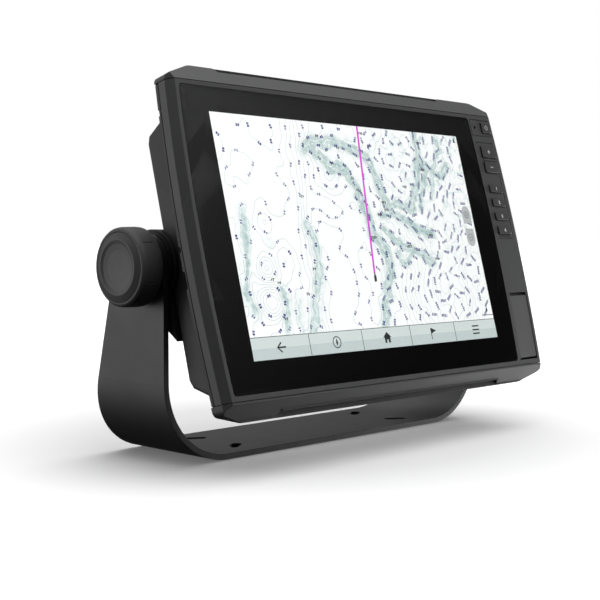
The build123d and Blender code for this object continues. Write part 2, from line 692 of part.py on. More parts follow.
def board_parts():
    """Processor, memory, power modules, coils and capacitors."""
    parts = [on_board(-30, 15, 21, 21, 1.8)]
    parts += [on_board(-52 + 14 * i, 38, 9, 12, 1.2) for i in range(4)]
    parts += [on_board(-80, 30 - 18 * i, 12, 12, 5.0) for i in range(3)]
    parts += [on_board(60 + 16 * i, 10, 8, 8, 2.4) for i in range(2)]
    for x in SOCKET_X:
        parts.append(on_board(x, -8, 18, 5, 3.0))
    for i in range(4):
        parts.append(rod_y(4.0, at_depth(BOARD_DEPTH - 8, BOARD_DEPTH), -84 + 10 * i, -45))
    return Compound(parts)


def shield_can():
    body = on_board(-30, 22, 72, 52, 4.0)
    return body - block((-65.5, 5.5), at_depth(BOARD_DEPTH - 3.5, BOARD_DEPTH + 1), (-3.5, 47.5))


def buzzer():
    body = rod_y(6.0, at_depth(BOARD_DEPTH - 6.5, BOARD_DEPTH), 66, -40)
    return body - rod_y(1.2, at_depth(BOARD_DEPTH - 8, BOARD_DEPTH - 4), 66, -40)


def gps_antenna():
    """Ceramic patch on its ground board, which is fixed to the chassis plate."""
    ground = block((36, 68), at_depth(14, CHASSIS_DEPTH), (68.0, 69.2))
    return ground + block((39.5, 64.5), at_depth(14.5, 38.5), (69.2, 73.2))


def cable_socket(x):
    """Round socket through the rear wall, open to the back, with a flange inside the case."""
    inside = at_depth(BOARD_DEPTH + BOARD_T, 0)[0]
    body = rod_y(SOCKET_R, (inside, SOCKET_BACK), x, SOCKET_Z)
    back_wall = CASE_BACK - CASE_BACK_WALL
    body += rod_y(12.0, (back_wall - 2.2, back_wall), x, SOCKET_Z)
    body -= rod_y(SOCKET_BORE_R, (SOCKET_FLOOR, SOCKET_BACK + 1), x, SOCKET_Z)
    body += block((x - 1.2, x + 1.2), (SOCKET_FLOOR, SOCKET_FLOOR + 6), (SOCKET_Z + 6.6, SOCKET_Z + 8.2))
    return body


def socket_pins():
    """Contact pins of all four sockets, on a circle round each socket's axis."""
    pins = []
    for x, count in zip(SOCKET_X, SOCKET_PINS.values()):
        for i in range(count):
            angle = 2 * math.pi * i / count
            px, pz = x + 4.0 * math.cos(angle), SOCKET_Z + 4.0 * math.sin(angle)
            pins.append(rod_y(0.7, (SOCKET_FLOOR, SOCKET_FLOOR + 5.5), px, pz))
    return Compound(pins)


# ---------------------------------------------------------------- cradle
def ear_outline():
    """Side view of an ear: a boss round the tilt axis with a gusset down the plate."""
    toe = (CRADLE_Y[0], CRADLE_Z[0])
    tangent = (EAR_R * 0.768, -EAR_R * 0.641)
    gusset = make_face(Polyline(toe, tangent, (EAR_R * 0.5, EAR_R * 0.866),
                                (CRADLE_Y[0], CRADLE_Z[1]), close=True))
    return Circle(EAR_R) + gusset


def ear(side):
    """Thick behind the case, thin where it laps the case's side wall."""
    body = extrude(Plane.YZ.offset(EAR_IN) * ear_outline(), EAR_OUT - EAR_IN)
    body -= block((EAR_IN - 1, CASE_HALF + 0.3), (-WIDE / 2, CRADLE_Y[0]), (-WIDE / 2, WIDE / 2))
    body -= rod_x(INSERT_R, EAR_IN - 1, EAR_OUT + 1)
    return body if side > 0 else mirrored(body)


def cradle():
    """Plate behind the case with two ears, a cable window, ribs, hooks and latch lugs."""
    body = block((-EAR_IN, EAR_IN), CRADLE_Y, CRADLE_Z)
    body -= block((-84, 84), (-20, 0), (SOCKET_Z - 16, SOCKET_Z + 16))
    for side in (-1, 1):
        x = sorted((side * 14.0, side * 44.0))
        body -= block(x, (-20, 0), (-4.0, 16.0))
        x = sorted((side * 76.0, side * 132.0))
        body -= block(x, (-20, 0), (-4.0, 16.0))
        x = sorted((side * 94.0, side * 134.0))
        body -= block(x, (-20, 0), (SOCKET_Z - 16, SOCKET_Z + 16))
    for z in ((CRADLE_Z[0], CRADLE_Z[0] + 3), (CRADLE_Z[1] - 3, CRADLE_Z[1])):
        body += block((-EAR_IN, EAR_IN), (CRADLE_Y[1] - 1, 0.0), z)
    body += ear(1) + ear(-1)
    for side in (-1, 1):
        x = sorted((side * (HOOK_X - 10), side * (HOOK_X + 10)))
        body += block(x, (CASE_BACK - 2.8, CRADLE_Y[0] + 1), (HOOK_Z[0], HOOK_Z[1] - 3))
        lug = sorted((side * LATCH_LUG[0], side * LATCH_LUG[1]))
        body += block(lug, (CRADLE_Y[0], LATCH_Y + 4.5), (LATCH_Z - 4.5, CRADLE_Z[0] + 1))
    return body - rod_x(LATCH_PIN_R + RUNNING_GAP, -LATCH_LUG[1] - 1, LATCH_LUG[1] + 1, LATCH_Y, LATCH_Z)


def cradle_insert(side):
    """Threaded brass insert; the thread is left plain."""
    body = rod_x(INSERT_R, EAR_IN, EAR_OUT) - rod_x(SCREW_R + RUNNING_GAP, EAR_IN - 1, EAR_OUT + 1)
    return body if side > 0 else mirrored(body)


def cradle_pads():
    """Rubber pads between the cradle plate and the case."""
    pads = [block((x - 6, x + 6), (CASE_BACK, CRADLE_Y[0]), (z - 3, z + 3))
            for x in (-139, 139) for z in (CRADLE_Z[0] + 4.1, CRADLE_Z[1] - 4.0)]
    return Compound(pads)


def release_lever():
    """Flap on the latch pin, with a tooth that enters the case and a finger pad below."""
    body = rod_x(3.2, -LATCH_HALF, LATCH_HALF, LATCH_Y, LATCH_Z)
    body += block((-20, 20), (-10.2, -6.8), (-86.0, LATCH_Z))
    body += block((-20, 20), (-10.2, -2.8), (-86.0, -83.0))
    body += block((-10, 10), (-15.2, -10.0), TOOTH_Z)
    return body - rod_x(LATCH_PIN_R + RUNNING_GAP, -LATCH_HALF - 1, LATCH_HALF + 1, LATCH_Y, LATCH_Z)


def latch_pin():
    return rod_x(LATCH_PIN_R, -LATCH_LUG[1], LATCH_LUG[1], LATCH_Y, LATCH_Z)


def lever_spring():
    """Torsion spring coiled round the latch pin beside the lever."""
    wire = 0.4
    radius = 2.5
    start = LATCH_HALF + wire + 0.3
    path = Helix(pitch=1.1, height=4.0, radius=radius)
    section = Plane(origin=path @ 0, z_dir=path % 0) * Circle(wire)
    coil = sweep(section, path=path)
    return Pos(start, LATCH_Y, LATCH_Z) * Rot(Y=90) * coil


# ---------------------------------------------------------------- knobs and washers
def turned(profile):
    """Solid of revolution about the tilt axis from (x, radius) points."""
    face = make_face(Polyline(*[(x, radius) for x, radius in profile], close=True))
    return revolve(face, Axis.X)


def knob_grip():
    """Grip with short finger lines round it, a back collar and a socket for the cap."""
    inner = SCREW_R + 0.02
    socket = CAP_R + 0.25
    rim = KNOB_FRONT - CAP_RISE
    body = turned([
        (169.6, inner), (169.6, 16.5), (KNOB_BACK, 17.5), (KNOB_BACK, KNOB_R - 1.4),
        (KNOB_BACK + 1.2, KNOB_R - 0.2), (KNOB_BACK + 4, KNOB_R), (rim - 3.4, KNOB_R - 0.2),
        (rim - 1.5, KNOB_R - 0.6), (rim - 0.4, KNOB_R - 1.4), (rim, KNOB_R - 2.2),
        (rim, socket), (KNOB_FRONT - 4.0, socket), (KNOB_FRONT - 4.0, inner),
    ])
    line = Pos(0, -KNOB_R - 0.15, 0) * rod_x(KNOB_LINE_R, *KNOB_LINE_X)
    for i in range(KNOB_LINES):
        body -= Rot(X=KNOB_LINE_TURN - 360.0 / KNOB_LINES * i) * line
    hexagon = extrude(Plane.YZ.offset(KNOB_FRONT - 8.0) * RegularPolygon(7.02, 6), 8)
    return body - hexagon


def knob_cap():
    """Cap whose edge slopes up to a shallow dish."""
    face = KNOB_FRONT
    return turned([
        (face - 3.9, 0), (face - 3.9, CAP_R), (face - CAP_RISE, CAP_R), (face, CAP_TOP_R),
        (face, CAP_TOP_R - 0.8), (face - 0.7, CAP_TOP_R - 3.0), (face - 1.2, CAP_TOP_R - 7.0),
        (face - 1.4, 5.0), (face - 1.4, 0),
    ])


def knob_screw():
    """Hexagon-headed screw moulded into the grip, running in the ear's insert."""
    shank = rod_x(SCREW_R, EAR_IN + 3, KNOB_FRONT - 7.5)
    head = extrude(Plane.YZ.offset(KNOB_FRONT - 8.0) * RegularPolygon(7.0, 6), 4.0)
    shank = chamfer(shank.faces().sort_by(Axis.X)[0].edges(), 0.8)
    return shank + head


def knob_washer():
    """Captive washer between the arm and the knob."""
    return rod_x(15.0, BAIL_HALF_W + 0.05, 169.55) - rod_x(SCREW_R + 0.1, 160, 180)


def friction_washer():
    """Disc between the ear and the inside of the arm."""
    inner_arm = BAIL_HALF_W - BAIL_T
    disc = rod_x(WASHER_R, EAR_OUT, inner_arm - 0.05)
    return disc - rod_x(SCREW_R + 0.3, EAR_OUT - 1, inner_arm + 1)


# ---------------------------------------------------------------- bail
def bail_bracket():
    """Flat bar bent into a U: slotted base, two arms that narrow towards the tilt axis."""
    tall = BAIL_TOP + 10
    outer = Pos(0, tall / 2) * Rectangle(2 * BAIL_HALF_W, tall)
    outer = fillet(outer.vertices().group_by(Axis.Y)[0], BAIL_R)
    inner_half = BAIL_HALF_W - BAIL_T
    inner = Pos(0, BAIL_T + tall / 2) * Rectangle(2 * inner_half, tall)
    inner = fillet(inner.vertices().group_by(Axis.Y)[0], BAIL_R - BAIL_T)
    half = BAIL_DEPTH / 2
    upright = extrude(Plane.XZ.offset(-half) * (outer - inner), BAIL_DEPTH)
    rear = half - BAIL_REAR_LEAN * BAIL_TOP
    arm = make_face(Polyline((-half, 0), (half, 0), (rear, BAIL_TOP), (-half, BAIL_TOP), close=True))
    arm = fillet(arm.vertices().group_by(Axis.Y)[-1], 20.0)
    body = upright & extrude(Plane.YZ.offset(-WIDE / 2) * arm, WIDE)
    body -= rod_x(SCREW_R + RUNNING_GAP, -WIDE / 2, WIDE / 2, PIVOT_Y, PIVOT_Z)
    for sx in (-1, 1):
        for sy in (-1, 1):
            slot = Pos(sx * SLOT_X, sy * SLOT_Y) * Rot(Z=sx * sy * SLOT_ANGLE) * SlotOverall(SLOT_L, SLOT_W)
            body -= extrude(Plane.XY.offset(-1) * slot, BAIL_T + 2)
    return body


# ---------------------------------------------------------------- assembly
def head_nodes():
    """Every piece that leans with the head, still upright."""
    nodes = {
        "front_bezel": front_bezel(),
        "top_trim": top_trim(),
        "bottom_trim": bottom_trim(),
        "cover_glass": cover_glass(),
        "border_print": border_print(),
        "glass_seal": glass_seal(),
        "lcd_panel": lcd_panel(),
        "backlight": backlight(),
        "panel_bracket": panel_bracket(),
        "keypad_mat": keypad_mat(),
        "keypad_board": keypad_board(),
        "ribbon_cables": ribbon_cables(),
        "sensor_window": sensor_window(),
        "card_door": card_door(),
        "card_door_pin": card_door_pin(),
        "card_door_seal": card_door_seal(),
        "card_bay": card_bay(),
        "card_sockets": card_sockets(),
        "rear_case": rear_case(),
        "case_seal": case_seal(),
        "case_screws": case_screws(),
        "vent_plug": vent_plug(),
        "chassis_plate": chassis_plate(),
        "main_board": main_board(),
        "board_parts": board_parts(),
        "inner_screws": inner_screws(),
        "shield_can": shield_can(),
        "buzzer": buzzer(),
        "gps_antenna": gps_antenna(),
        "socket_pins": socket_pins(),
        "cradle": cradle(),
        "cradle_pads": cradle_pads(),
        "release_lever": release_lever(),
        "latch_pin": latch_pin(),
        "lever_spring": lever_spring(),
    }
    for name, place in KEYS.items():
        nodes[name] = key(*place)
    for name, x in zip(SOCKET_PINS, SOCKET_X):
        nodes[name] = cable_socket(x)
    right_side = {
        "knob_grip": knob_grip(),
        "knob_cap": knob_cap(),
        "knob_screw": knob_screw(),
        "knob_washer": knob_washer(),
        "friction_washer": friction_washer(),
    }
    for name, part in right_side.items():
        nodes["right_" + name] = part
        nodes["left_" + name] = mirrored(part)
    nodes["right_cradle_insert"] = cradle_insert(1)
    nodes["left_cradle_insert"] = cradle_insert(-1)
    return nodes


def main():
    os.makedirs("parts", exist_ok=True)
    pose = Pos(0, PIVOT_Y, PIVOT_Z) * Rot(X=-LEAN)
    nodes = {name: pose * part for name, part in head_nodes().items()}
    nodes["bail_bracket"] = bail_bracket()
    for name, part in nodes.items():
        export_step(part, f"parts/{name}.step")
    print(len(nodes), "nodes")


main()
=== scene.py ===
"""Looks of a chartplotter display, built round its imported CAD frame. Lengths are in metres,
unless a name ends in _MM or a comment says millimetres."""
import json
import math
import random

import bmesh
import bpy
import numpy as np
from mathutils import Matrix, Vector, noise


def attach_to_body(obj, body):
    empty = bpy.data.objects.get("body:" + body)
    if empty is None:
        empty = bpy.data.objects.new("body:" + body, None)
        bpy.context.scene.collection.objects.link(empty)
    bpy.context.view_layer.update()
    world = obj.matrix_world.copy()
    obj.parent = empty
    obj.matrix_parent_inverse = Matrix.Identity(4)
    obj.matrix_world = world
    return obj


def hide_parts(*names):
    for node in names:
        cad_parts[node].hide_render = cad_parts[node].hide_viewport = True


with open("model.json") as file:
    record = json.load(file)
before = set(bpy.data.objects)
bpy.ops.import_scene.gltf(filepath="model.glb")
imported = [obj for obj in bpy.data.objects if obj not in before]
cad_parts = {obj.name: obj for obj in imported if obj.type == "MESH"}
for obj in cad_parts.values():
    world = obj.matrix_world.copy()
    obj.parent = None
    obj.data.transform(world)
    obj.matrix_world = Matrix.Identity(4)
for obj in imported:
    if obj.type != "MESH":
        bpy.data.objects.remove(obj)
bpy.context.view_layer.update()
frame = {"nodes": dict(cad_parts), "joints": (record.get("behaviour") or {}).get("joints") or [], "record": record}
MM = 0.001
JOINTS = {joint["name"]: joint for joint in frame["joints"]}

# ------------------------------------------------------------------ the head's own axes
# x to the right, y back into the case, z up along the glass, from the tilt axis.
PIVOT = Vector(JOINTS["head_tilt"]["pos_m"])
RIGHT = Vector(JOINTS["head_tilt"]["axis"])
BACK = Vector(JOINTS["power_key_press"]["axis"]).normalized()
UP = RIGHT.cross(BACK)
HEAD = Matrix((RIGHT, BACK, UP)).transposed().to_4x4()
HEAD.translation = PIVOT
TO_HEAD = HEAD.inverted()


def head_box(node):
    """Lowest and highest corner of a CAD node along the head's axes."""
    corners = np.array([TO_HEAD @ v.co for v in frame["nodes"][node].data.vertices])
    return Vector(corners.min(0)), Vector(corners.max(0))


# ------------------------------------------------------------------ materials
class Tree:
    """Node tree of a material, filled with short calls. A socket takes a value or another
    node's output."""

    def __init__(self, name):
        self.material = bpy.data.materials.new(name)
        self.material.use_nodes = True
        self.nodes = self.material.node_tree.nodes
        self.links = self.material.node_tree.links
        self.shader = self.nodes["Principled BSDF"]

    def put(self, node, sockets):
        for socket, value in sockets.items():
            if isinstance(value, bpy.types.NodeSocket):
                self.links.new(value, node.inputs[socket])
            else:
                node.inputs[socket].default_value = value

    def add(self, kind, sockets=None, **settings):
        node = self.nodes.new("ShaderNode" + kind)
        for name, value in settings.items():
            setattr(node, name, value)
        self.put(node, sockets or {})
        return node.outputs

    def place(self):
        return self.add("TexCoord")["Object"]

    def noise(self, size, detail=2.0, place=None):
        sockets = {"Vector": place or self.place(), "Scale": 1 / size, "Detail": detail}
        return self.add("TexNoise", sockets)["Fac"]

    def between(self, factor, low, high, start=0.3, end=0.7):
        """Runs from low to high while the factor runs from start to end, and holds outside."""
        sockets = {
            "Value": factor, "From Min": start, "From Max": end, "To Min": low, "To Max": high,
        }
        return self.add("MapRange", sockets)["Result"]

    def mix(self, factor, first, second):
        return self.add("MixRGB", {"Fac": factor, "Color1": first, "Color2": second})["Color"]

    def math(self, operation, first, second):
        return self.add("Math", {0: first, 1: second}, operation=operation)["Value"]

    def relief(self, height, depth, edge=0.0):
        """Bump of a depth from a height, over edges rounded by a radius."""
        sockets = {"Height": height, "Distance": depth}
        if edge:
            sockets["Normal"] = self.add("Bevel", {"Radius": edge}, samples=4)["Normal"]
        self.put(self.shader, {"Normal": self.add("Bump", sockets)["Normal"]})


def shade(colour, amount):
    return (*(c * amount for c in colour[:3]), 1.0)


# Painted shade in grooves: ambient occlusion darkens the colour of narrow grooves and gaps.
GROOVE_SHADE_TONE = 0.06            # painted shade: share of its colour that a surface keeps deep in a groove
GROOVE_SHADE_OPEN = (0.45, 0.85)    # openness of a deep groove and of plain surface, between which the painted shade fades


def surface(name, colour, gloss, grain, depth, edge=0.0,
            tone=0.12, cloud=0.03, painted_shade_reach=0.0, **sockets):
    """Colour clouded by a tone over patches of size cloud, uneven roughness within the gloss
    pair, and a relief of fine grain. Painted shade: grooves narrower than the reach are darkened."""
    tree = Tree(name)
    clouds = tree.noise(cloud, 4.0)
    fine = tree.noise(grain, 2.0)
    uneven = tree.math("ADD", tree.math("MULTIPLY", clouds, 0.6), tree.math("MULTIPLY", fine, 0.4))
    paint = tree.mix(uneven, shade(colour, 1 - tone), shade(colour, 1 + tone))
    # Painted shade: the colour darkens where ambient occlusion finds a narrow groove or gap.
    if painted_shade_reach:
        opening = tree.add("AmbientOcclusion", {"Distance": painted_shade_reach}, samples=6)["AO"]
        clear = tree.between(opening, 0.0, 1.0, *GROOVE_SHADE_OPEN)
        paint = tree.mix(clear, shade(colour, GROOVE_SHADE_TONE), paint)
    tree.put(tree.shader, {"Base Color": paint, "Roughness": tree.between(uneven, *gloss)})
    tree.relief(fine, depth, edge)
    tree.put(tree.shader, {socket.replace("_", " "): value for socket, value in sockets.items()})
    return tree.material


LINE_STRETCH = 0.02           # a brushed line is 50 times as long as it is wide


def brushed(name, colour, gloss, axis):
    """Metal with fine lines along one axis, 0 for x to 2 for z."""
    tree = Tree(name)
    stretch = [1.0, 1.0, 1.0]
    stretch[axis] = LINE_STRETCH
    lines = tree.add("Mapping", {"Vector": tree.place(), "Scale": stretch})["Vector"]
    streaks = tree.noise(0.0003, 3.0, lines)
    clouds = tree.noise(0.012, 3.0)
    tree.put(tree.shader, {
        "Base Color": tree.mix(clouds, shade(colour, 0.85), shade(colour, 1.1)),
        "Roughness": tree.between(streaks, *gloss),
        "Metallic": 1.0,
    })
    tree.relief(streaks, 0.000004, 0.0002)
    return tree.material


MASK_GREENS = ((0.010, 0.090, 0.035, 1), (0.014, 0.110, 0.042, 1))
TRACK_GREEN = (0.030, 0.190, 0.080, 1)
PAD_TIN = (0.55, 0.50, 0.38, 1)
TRACKS_PER_METRE = 160.0
PADS_PER_METRE = 420.0


def circuit(name):
    """Green solder mask over copper tracks, with pale pads."""
    tree = Tree(name)
    place = tree.place()
    tracks = tree.add("TexBrick", {
        "Vector": place, "Scale": TRACKS_PER_METRE, "Mortar Size": 0.06,
        "Color1": MASK_GREENS[0], "Color2": MASK_GREENS[1], "Mortar": TRACK_GREEN,
    })
    cells = tree.add("TexVoronoi", {"Vector": place, "Scale": PADS_PER_METRE})["Distance"]
    pad = tree.between(cells, 1.0, 0.0, 0.10, 0.16)
    tree.put(tree.shader, {
        "Base Color": tree.mix(pad, tracks["Color"], PAD_TIN),
        "Roughness": tree.between(cells, 0.25, 0.42),
    })
    tree.relief(tracks["Fac"], 0.00003)
    return tree.material


def clear_glass(name):
    """Clear glass with faint smears."""
    tree = Tree(name)
    smear = tree.noise(0.05, 4.0)
    tree.put(tree.shader, {
        "Base Color": (0.98, 1.0, 1.0, 1), "Transmission Weight": 1.0, "IOR": 1.5,
        "Roughness": tree.between(smear, 0.0, 0.012),
    })
    return tree.material


WHITE = (1.0, 1.0, 1.0, 1.0)
PIXEL_PITCH = 0.000204
PAPER_LIGHT = 1.12            # emission of the chart's paper; everything printed on it has 1
TINT_BANDS = 25.0             # turns the tint into bands, about one every quarter of it
TINT_GAIN = 1.25
TINT_LIMIT = 0.52             # the darkest water stays this far down the ramp
PAPER_START = 0.06            # tints below this stay white
DEEP_WATER = (0.15, 0.28, 0.27, 1)
WATERS = ((0.25, (0.78, 0.86, 0.85, 1)), (0.6, (0.42, 0.57, 0.56, 1)))  # places on the ramp


def pixels(tree):
    """Slight dark lattice of the panel's picture elements, seen only close up."""
    split = tree.add("SeparateXYZ", {"Vector": tree.place()})
    across = tree.math("PINGPONG", split["X"], PIXEL_PITCH / 2)
    upward = tree.math("PINGPONG", split["Z"], PIXEL_PITCH / 2)
    nearest = tree.math("MINIMUM", across, upward)
    return tree.between(nearest, 0.9, 1.0, 0.0, PIXEL_PITCH / 8)


def shining(tree, colour, strength):
    """Finishes a material as a dark matt front that shines."""
    tree.put(tree.shader, {
        "Base Color": (0.01, 0.01, 0.01, 1),
        "Emission Color": colour,
        "Emission Strength": strength,
        "Roughness": tree.between(tree.noise(0.001), 0.5, 0.6),
    })
    return tree.material


def lit(name, colour):
    """Part of the lit picture in one colour, through the lattice of the panel."""
    tree = Tree(name)
    glow = tree.mix(pixels(tree), shade(colour, 0.8), shade(colour, 1.0))
    return shining(tree, glow, 1.0)


def chart_paper(name):
    """White water that deepens to grey green where the tint attribute rises."""
    tree = Tree(name)
    tint = tree.add("Attribute", attribute_name="tint")["Fac"]
    bands = tree.math("SINE", tree.math("MULTIPLY", tint, TINT_BANDS), 0.0)
    bands = tree.between(bands, 0.6, 1.25, -1.0, 1.0)
    level = tree.math("MINIMUM", tree.math("MULTIPLY", tint, TINT_GAIN), TINT_LIMIT)
    patches = tree.between(tree.noise(0.004, 5.0), 0.45, 1.45)
    uneven = tree.math("MULTIPLY", tree.math("MULTIPLY", level, patches), bands)
    ramp = tree.nodes.new("ShaderNodeValToRGB")
    stops = ramp.color_ramp.elements
    stops[0].position = PAPER_START
    stops[0].color = WHITE
    stops[1].color = DEEP_WATER
    for position, colour in WATERS:
        stops.new(position).color = colour
    tree.put(ramp, {"Fac": uneven})
    shown = tree.mix(pixels(tree), (0.0, 0.0, 0.0, 1), ramp.outputs["Color"])
    return shining(tree, shown, PAPER_LIGHT)


CHARCOAL = (0.070, 0.071, 0.073)
BLACK = (0.020, 0.020, 0.021)

# For surface: name, colour, roughness pair, grain size, relief depth, radius of rounded edges; the keyword after
# them, where given, is the reach of the painted shade in grooves.
MATERIALS = {
    "bezel": surface("bezel_plastic", CHARCOAL, (0.42, 0.56), 0.0005, 0.00003, 0.0003,
                     painted_shade_reach=0.0016),
    "door": surface("door_plastic", (0.112, 0.113, 0.115), (0.40, 0.54), 0.0005, 0.00003, 0.0003,
                    painted_shade_reach=0.0012),
    "trim": surface("trim_plastic", (0.066, 0.067, 0.069), (0.42, 0.56), 0.0005, 0.00003, 0.0003,
                    painted_shade_reach=0.0012),
    "case": surface("case_plastic", (0.042, 0.042, 0.044), (0.46, 0.62), 0.0007, 0.00005, 0.0005),
    "key": surface("key_plastic", (0.058, 0.058, 0.060), (0.38, 0.50), 0.0004, 0.00001, 0.0003,
                   painted_shade_reach=0.0016),
    "cradle": surface("cradle_plastic", BLACK, (0.48, 0.64), 0.0008, 0.00006, 0.0005),
    "coat": surface("bail_coat", (0.030, 0.030, 0.031), (0.34, 0.46), 0.0009, 0.00003, 0.0005,
                    tone=0.08),
    "grip": surface("knob_rubber", (0.080, 0.080, 0.082), (0.50, 0.66), 0.0005, 0.00003, 0.0005),
    "cap": surface("knob_cap", (0.035, 0.035, 0.036), (0.36, 0.46), 0.0004, 0.00001, 0.0005),
    "nylon": surface("nylon_black", (0.012, 0.012, 0.012), (0.45, 0.60), 0.0008, 0.00003, 0.0003),
    "rubber": surface("rubber_black", (0.014, 0.014, 0.014), (0.65, 0.85), 0.0006, 0.00004),
    "socket": surface("socket_plastic", (0.018, 0.018, 0.018), (0.40, 0.55), 0.0006, 0.00002,
                      0.0003),
    "print": surface("black_print", (0.0012, 0.0012, 0.0013), (0.40, 0.50), 0.0010, 0.000001,
                     Specular_IOR_Level=0.0),
    "window": surface("smoked_window", (0.004, 0.003, 0.004), (0.05, 0.12), 0.0010, 0.000002),
    "chip": surface("chip_black", (0.020, 0.020, 0.021), (0.45, 0.60), 0.0003, 0.00001, 0.0002),
    "sheet_white": surface("white_sheet", (0.80, 0.80, 0.79), (0.35, 0.50), 0.0008, 0.00001),
    "film": surface("ribbon_film", (0.42, 0.20, 0.04), (0.18, 0.30), 0.0010, 0.00001),
    "ceramic": surface("ceramic", (0.72, 0.68, 0.60), (0.55, 0.75), 0.0006, 0.00003, 0.0002),
    "steel": brushed("steel", (0.56, 0.56, 0.57), (0.22, 0.38), 0),
    "tin": brushed("tinned_steel", (0.66, 0.66, 0.65), (0.28, 0.45), 2),
    "aluminium": brushed("aluminium", (0.72, 0.73, 0.74), (0.35, 0.52), 0),
    "brass": brushed("brass", (0.78, 0.58, 0.28), (0.22, 0.38), 1),
    "board": circuit("circuit_board"),
    "glass": clear_glass("cover_glass"),
}
NODE_MATERIALS = {  # words in a node's name: the first that fits counts
    "key_": "key", "knob_grip": "grip", "knob_cap": "cap", "knob_screw": "steel",
    "washer": "nylon", "insert": "brass", "bail": "coat", "front_bezel": "bezel", "trim": "trim",
    "cover_glass": "glass", "border_print": "print", "keypad_mat": "rubber", "seal": "rubber",
    "pads": "rubber", "vent_plug": "rubber", "lcd_panel": "print", "backlight": "sheet_white",
    "panel_bracket": "tin", "board_parts": "chip", "_board": "board", "ribbon": "film",
    "sensor": "window", "card_door_pin": "steel", "card_door": "door", "card_bay": "case",
    "card_sockets": "tin", "rear_case": "case", "screws": "steel", "chassis": "aluminium",
    "shield": "tin", "buzzer": "chip", "antenna": "ceramic", "socket_pins": "brass",
    "cradle": "cradle", "release": "cradle", "latch_pin": "steel", "spring": "steel",
    "_socket": "socket",
}


def dress_nodes():
    """Gives every CAD node its material."""
    for name, node in frame["nodes"].items():
        word = next(w for w in NODE_MATERIALS if w in name)
        node.data.materials.clear()
        node.data.materials.append(MATERIALS[NODE_MATERIALS[word]])


# ------------------------------------------------------------------ flat pieces
NUMERAL_PITCH = 0.78          # from one numeral to the next, over their height


class Flat:
    """Shapes in a plane parallel to the glass, in millimetres times size from a corner in
    metres, gathered into one thin piece."""

    def __init__(self, corner=(0.0, 0.0), size=1.0):
        self.corner = corner
        self.unit = size * MM
        self.points = []
        self.faces = []

    def add(self, points, faces):
        start = len(self.points)
        self.points += [tuple(p) for p in points]
        self.faces += [[start + i for i in face] for face in faces]

    def shape(self, points):
        self.add(points, [range(len(points))])

    def rect(self, u0, v0, u1, v1):
        self.shape([(u0, v0), (u1, v0), (u1, v1), (u0, v1)])

    def strip(self, points, width, closed=False):
        """Band of even width along a line of points."""
        p = np.array(points, float)
        before, after = np.roll(p, 1, 0), np.roll(p, -1, 0)
        if not closed:
            before[0], after[-1] = p[0], p[-1]
        along = after - before
        along /= np.linalg.norm(along, axis=1)[:, None]
        side = np.column_stack((-along[:, 1], along[:, 0])) * width / 2
        count = len(p)
        ends = range(count if closed else count - 1)
        self.add(np.vstack((p + side, p - side)),
                 [(i, (i + 1) % count, (i + 1) % count + count, i + count) for i in ends])

    def ring(self, u, v, radius, width, start=0.0, end=360.0, steps=28):
        """Ring, or part of one between two angles in degrees."""
        closed = end - start >= 360.0
        count = steps if closed else steps + 1
        turns = [math.radians(start + (end - start) * i / steps) for i in range(count)]
        line = [(u + radius * math.cos(a), v + radius * math.sin(a)) for a in turns]
        self.strip(line, width, closed)

    def glyphs(self, text, u, v, height, angle=0.0):
        """Numerals centred on a point and turned by an angle in radians."""
        step = NUMERAL_PITCH * height
        cos, sin = math.cos(angle), math.sin(angle)
        for i, sign in enumerate(text):
            points, faces = numeral(sign)
            shift = (i - (len(text) - 1) / 2) * step
            moved = points * height + (shift, 0.0)
            turned = moved @ np.array(((cos, sin), (-sin, cos)))
            self.add(turned + (u, v), faces)

    def piece(self, name, front, thickness, material, body="head", slot="screen"):
        """Makes the piece. front is the y of the face towards the viewer, in the head's axes."""
        mesh = bpy.data.meshes.new(name)
        u0, v0 = self.corner
        places = [HEAD @ Vector((u0 + u * self.unit, front, v0 + v * self.unit))
                  for u, v in self.points]
        mesh.from_pydata(places, [], self.faces)
        shell = bmesh.new()
        shell.from_mesh(mesh)
        for face in shell.faces:
            face.normal_update()
            if face.normal.dot(BACK) > 0:
                face.normal_flip()
        rims = [edge for edge in shell.edges if edge.is_boundary]
        faces = shell.faces[:]
        lower = bmesh.ops.duplicate(shell, geom=faces + rims)
        twin = lower["vert_map"]
        moved = [v for v in lower["geom"] if isinstance(v, bmesh.types.BMVert)]
        bmesh.ops.translate(shell, verts=moved, vec=BACK * thickness)
        for face in lower["geom"]:
            if isinstance(face, bmesh.types.BMFace):
                face.normal_flip()
        for edge in rims:
            first, second = edge.verts
            shell.faces.new((first, second, twin[second], twin[first]))
        bmesh.ops.recalc_face_normals(shell, faces=shell.faces[:])
        shell.to_mesh(mesh)
        shell.free()
        return attach(mesh, name, material, body)


def attach(mesh, name, material, body):
    """Object of a mesh that rides on a body."""
    mesh.materials.append(material)
    piece = bpy.data.objects.new(name, mesh)
    bpy.context.scene.collection.objects.link(piece)
    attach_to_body(piece, body)
    return piece


NUMERALS = {}                 # filled by numeral
NUMERAL_SWELL = 0.085         # thickens the strokes, in the curve's own units


def numeral(sign):
    """Points and faces of one numeral, one unit tall and centred."""
    if sign not in NUMERALS:
        curve = bpy.data.curves.new("numeral", "FONT")
        curve.body = sign
        curve.resolution_u = 2
        curve.offset = NUMERAL_SWELL
        holder = bpy.data.objects.new("numeral", curve)
        mesh = bpy.data.meshes.new_from_object(holder)
        points = np.array([v.co[:2] for v in mesh.vertices])
        low, high = points.min(0), points.max(0)
        points = (points - (low + high) / 2) / (high[1] - low[1])
        NUMERALS[sign] = (points, [tuple(p.vertices) for p in mesh.polygons])
        bpy.data.objects.remove(holder)
        bpy.data.curves.remove(curve)
        bpy.data.meshes.remove(mesh)
    return NUMERALS[sign]


